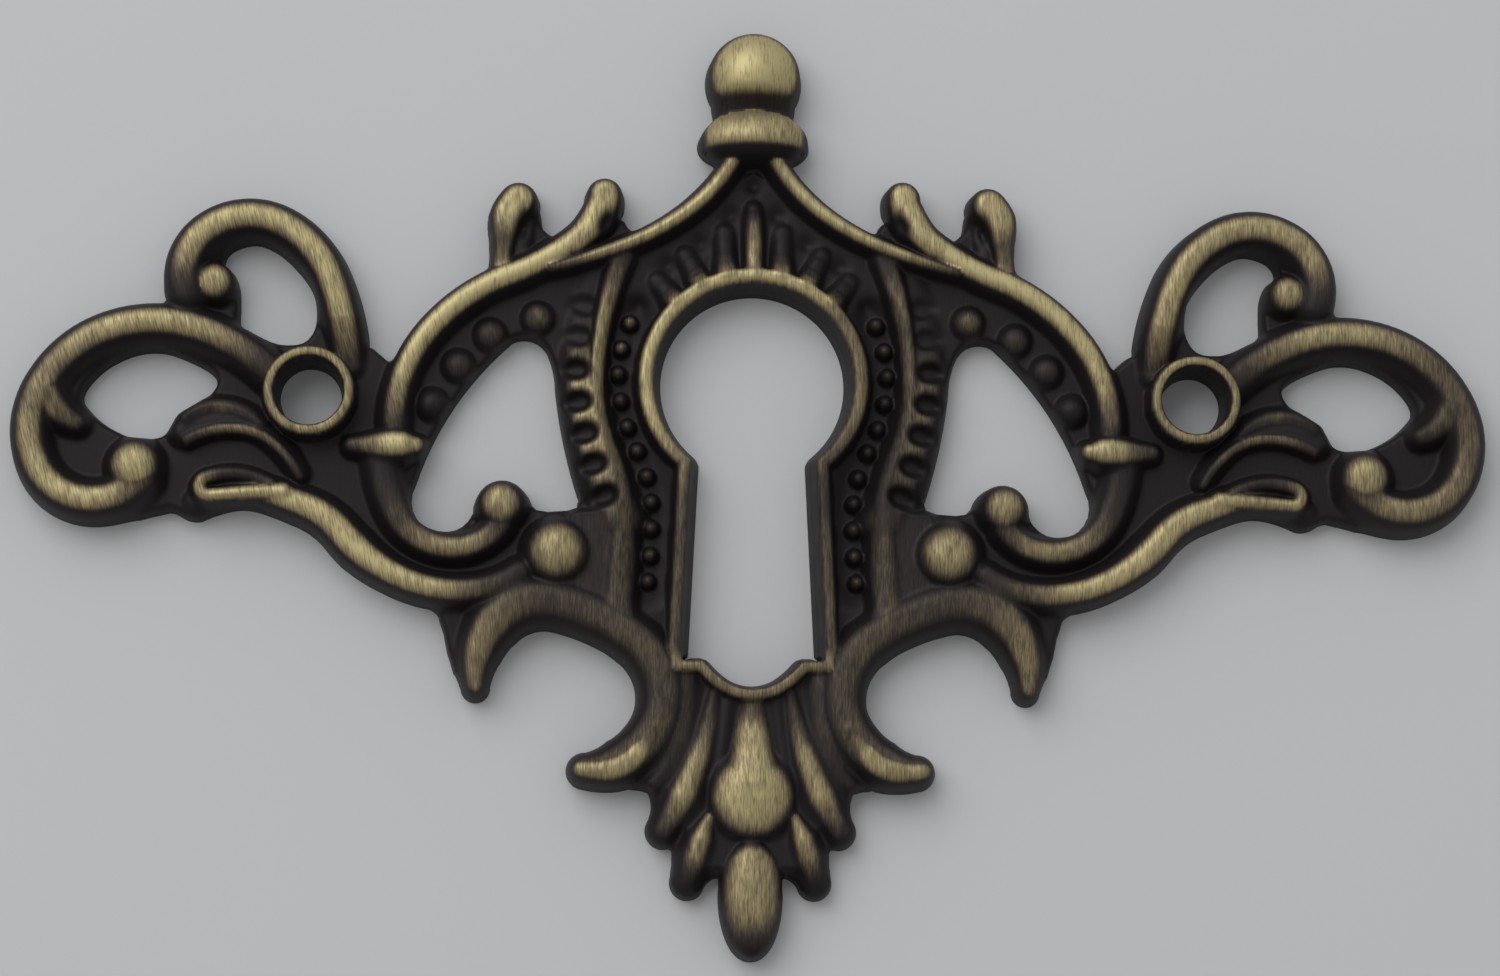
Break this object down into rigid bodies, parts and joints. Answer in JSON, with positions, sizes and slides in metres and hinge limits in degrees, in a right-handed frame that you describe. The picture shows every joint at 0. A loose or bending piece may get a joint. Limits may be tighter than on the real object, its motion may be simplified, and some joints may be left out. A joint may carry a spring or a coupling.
{
  "type": "keyhole escutcheon",
  "caption": "Flat scrollwork escutcheon cast in one piece, with a raised keyhole rim, heart-shaped openings, beaded bands, a ball finial and a ringed fixing hole in each side lobe.",
  "frame": {"origin": "midway between the two fixing holes, on the flat back", "axes": "+X along the line of the fixing holes, +Y towards the ball finial, +Z out of the decorated front"},
  "size_m": [0.0754, 0.0479, 0.0037],
  "materials": {
    "antique_brass": "dark patina in the hollows, brushed brass on the high edges"
  },
  "bodies": {
    "root": {"escutcheon": "antique_brass"}
  },
  "joints": []
}
